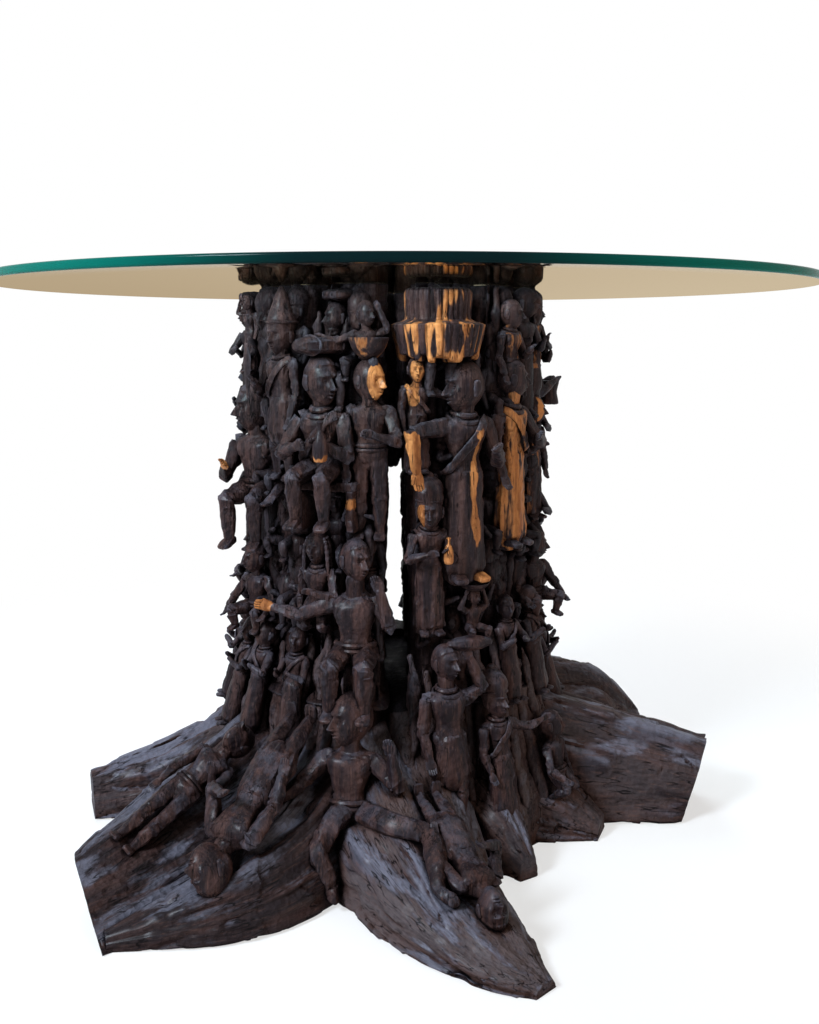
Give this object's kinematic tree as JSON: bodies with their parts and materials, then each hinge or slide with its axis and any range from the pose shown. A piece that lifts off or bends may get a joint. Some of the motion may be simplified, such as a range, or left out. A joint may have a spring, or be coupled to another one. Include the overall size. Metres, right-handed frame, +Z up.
{
  "type": "root dining table",
  "caption": "Dining table: a round clear glass top resting on a root stump carved all round with stacked people, baskets and spreading roots.",
  "frame": {"origin": "on the floor under the centre of the glass top", "axes": "+Z up, -Y towards the viewer of the picture, +X to the viewer's right"},
  "size_m": [1.1, 1.1, 0.752],
  "materials": {
    "blackwood": "oiled, hand carved",
    "sapwood": "oiled, hand carved",
    "glass": "clear float glass with polished edge",
    "clear_pad": "clear soft plastic"
  },
  "bodies": {
    "base": {"back_croucher_left": "blackwood", "back_croucher_right": "blackwood", "back_kneeler": "blackwood", "back_seated": "blackwood", "bald_woman": "blackwood", "bundle_woman": "blackwood", "capped_man": "blackwood", "central_man": "blackwood", "cloaked_elder": "blackwood", "crouching_bearer": "blackwood", "drummer": "blackwood", "flute_player": "blackwood", "front_sleeper": "blackwood", "hat_man": "blackwood", "horn_boy": "blackwood", "kneeling_boy": "blackwood", "left_croucher": "blackwood", "left_seated": "blackwood", "long_haired_woman": "blackwood", "lower_woman": "blackwood", "mother": "blackwood", "orange_bearer": "sapwood", "pad_back_left": "clear_pad", "pad_back_right": "clear_pad", "pad_front_left": "clear_pad", "pad_front_right": "clear_pad", "plank_rider": "blackwood", "plank_sleeper": "blackwood", "post_back_left": "blackwood", "post_back_mid_left": "blackwood", "post_back_mid_right": "blackwood", "post_back_right": "blackwood", "post_front_left": "blackwood", "post_front_right": "blackwood", "post_left": "blackwood", "post_right": "blackwood", "pounder": "blackwood", "raised_arm_woman": "blackwood", "right_croucher": "blackwood", "right_elder": "blackwood", "root_back": "blackwood", "root_back_left": "blackwood", "root_back_right": "blackwood", "root_front": "blackwood", "root_left_plank": "blackwood", "root_left_toe": "blackwood", "root_right": "blackwood", "root_right_lobe": "blackwood", "root_stub": "blackwood", "round_headed_man": "blackwood", "standing_profile": "blackwood", "stool": "blackwood", "striped_basket": "sapwood", "stump_heart": "blackwood", "tall_draped_man": "blackwood", "top_bearer": "blackwood", "water_carrier": "blackwood", "wrapped_woman": "blackwood"},
    "top": {"glass_top": "glass"}
  },
  "joints": [
    {"name": "glass_lift", "type": "slide", "parent": "base", "child": "top", "axis": [0, 0, 1], "range_m": [0, 0.25]}
  ]
}
